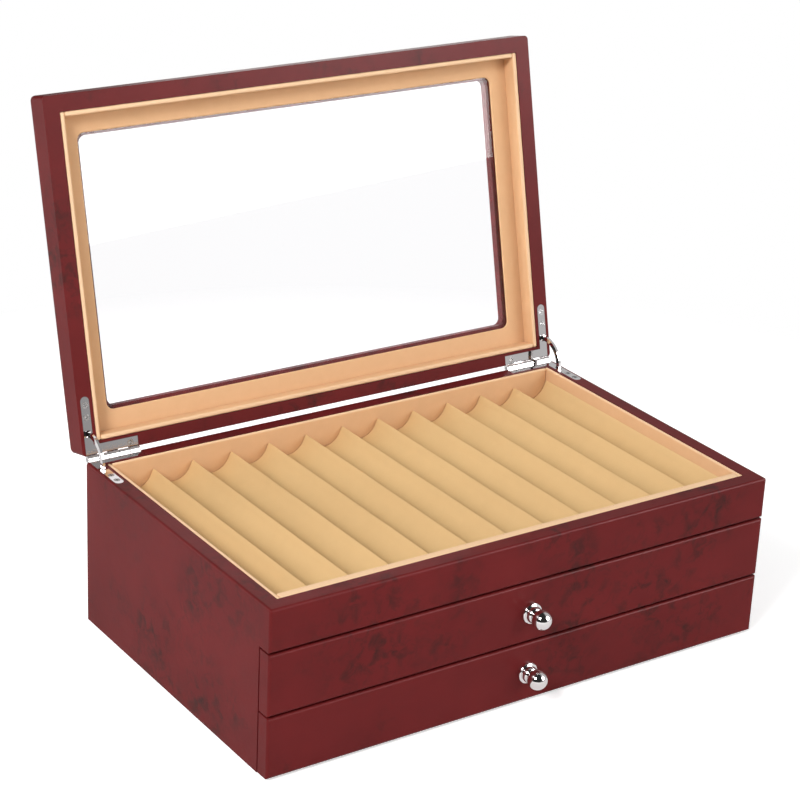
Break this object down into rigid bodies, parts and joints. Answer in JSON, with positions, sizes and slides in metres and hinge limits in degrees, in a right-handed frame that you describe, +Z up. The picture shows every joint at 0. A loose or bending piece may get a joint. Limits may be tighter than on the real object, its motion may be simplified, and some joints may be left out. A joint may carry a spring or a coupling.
{
  "type": "fountain pen case",
  "caption": "Table-top wooden pen case: a velvet tray of side-by-side pen slots under a hinged glass-window lid, over two slotted drawers with round chrome knobs.",
  "frame": {"origin": "on the table, under the middle of the case's outline (drawer fronts included, knobs and open lid not)", "axes": "+X to the right of someone who faces the drawers, +Y to the back, +Z up"},
  "size_m": [0.345, 0.2972, 0.313],
  "materials": {
    "lacquered_wood": "satin burgundy lacquer over a faintly mottled burl veneer",
    "inner_wood": "thin matt burgundy stain on drawer boxes and inner boards",
    "velvet": "straw-beige velvet over a moulded block",
    "suede": "peach-tan suede cloth over thin board",
    "felt": "dark felt under the base",
    "chrome": "bright chrome plate",
    "steel": "plain bright steel",
    "glass": "clear flat glass"
  },
  "bodies": {
    "case": {"left_side_panel": "lacquered_wood", "right_side_panel": "lacquered_wood", "back_panel": "lacquered_wood", "tray_front_panel": "lacquered_wood", "tray_floor_panel": "inner_wood", "drawer_shelf": "inner_wood", "bottom_panel": "inner_wood", "base_felt": "felt", "tray_lining_left": "suede", "tray_lining_right": "suede", "tray_lining_front": "suede", "tray_lining_back": "suede", "top_pen_tray": "velvet", "left_hinge_case_leaf": "chrome", "right_hinge_case_leaf": "chrome", "left_hinge_pin": "steel", "right_hinge_pin": "steel", "case_hinge_screws": "steel"},
    "lid": {"lid_left_rail": "lacquered_wood", "lid_right_rail": "lacquered_wood", "lid_front_rail": "lacquered_wood", "lid_back_rail": "lacquered_wood", "lid_window_frame": "lacquered_wood", "lid_glass": "glass", "lid_window_mat": "suede", "lid_lining_left": "suede", "lid_lining_right": "suede", "lid_lining_front": "suede", "lid_lining_back": "suede", "left_hinge_lid_leaf": "chrome", "right_hinge_lid_leaf": "chrome", "lid_hinge_screws": "steel"},
    "left_stop_arm": {"left_stop_arm": "chrome"},
    "right_stop_arm": {"right_stop_arm": "chrome"},
    "upper_drawer": {"upper_drawer_front": "lacquered_wood", "upper_drawer_left_side": "inner_wood", "upper_drawer_right_side": "inner_wood", "upper_drawer_back": "inner_wood", "upper_drawer_bottom": "inner_wood", "upper_drawer_lining": "suede", "upper_drawer_pen_tray": "velvet", "upper_drawer_knob": "chrome", "upper_drawer_knob_bolt": "steel"},
    "lower_drawer": {"lower_drawer_front": "lacquered_wood", "lower_drawer_left_side": "inner_wood", "lower_drawer_right_side": "inner_wood", "lower_drawer_back": "inner_wood", "lower_drawer_bottom": "inner_wood", "lower_drawer_lining": "suede", "lower_drawer_pen_tray": "velvet", "lower_drawer_knob": "chrome", "lower_drawer_knob_bolt": "steel"}
  },
  "joints": [
    {"name": "lid_hinge", "type": "hinge", "parent": "case", "child": "lid", "pos_m": [0, 0.1078, 0.1047], "axis": [1, 0, 0], "range_deg": [0, 103]},
    {"name": "left_arm_swing", "type": "hinge", "parent": "case", "child": "left_stop_arm", "pos_m": [0, 0.1078, 0.1047], "axis": [1, 0, 0], "range_deg": [0, 51.5]},
    {"name": "right_arm_swing", "type": "hinge", "parent": "case", "child": "right_stop_arm", "pos_m": [0, 0.1078, 0.1047], "axis": [1, 0, 0], "range_deg": [0, 51.5]},
    {"name": "upper_drawer_slide", "type": "slide", "parent": "case", "child": "upper_drawer", "axis": [0, -1, 0], "range_m": [0, 0.15]},
    {"name": "lower_drawer_slide", "type": "slide", "parent": "case", "child": "lower_drawer", "axis": [0, -1, 0], "range_m": [0, 0.15]}
  ],
  "couplings": [
    {"joint": "left_arm_swing", "follows": "lid_hinge", "ratio": 0.5},
    {"joint": "right_arm_swing", "follows": "lid_hinge", "ratio": 0.5}
  ]
}
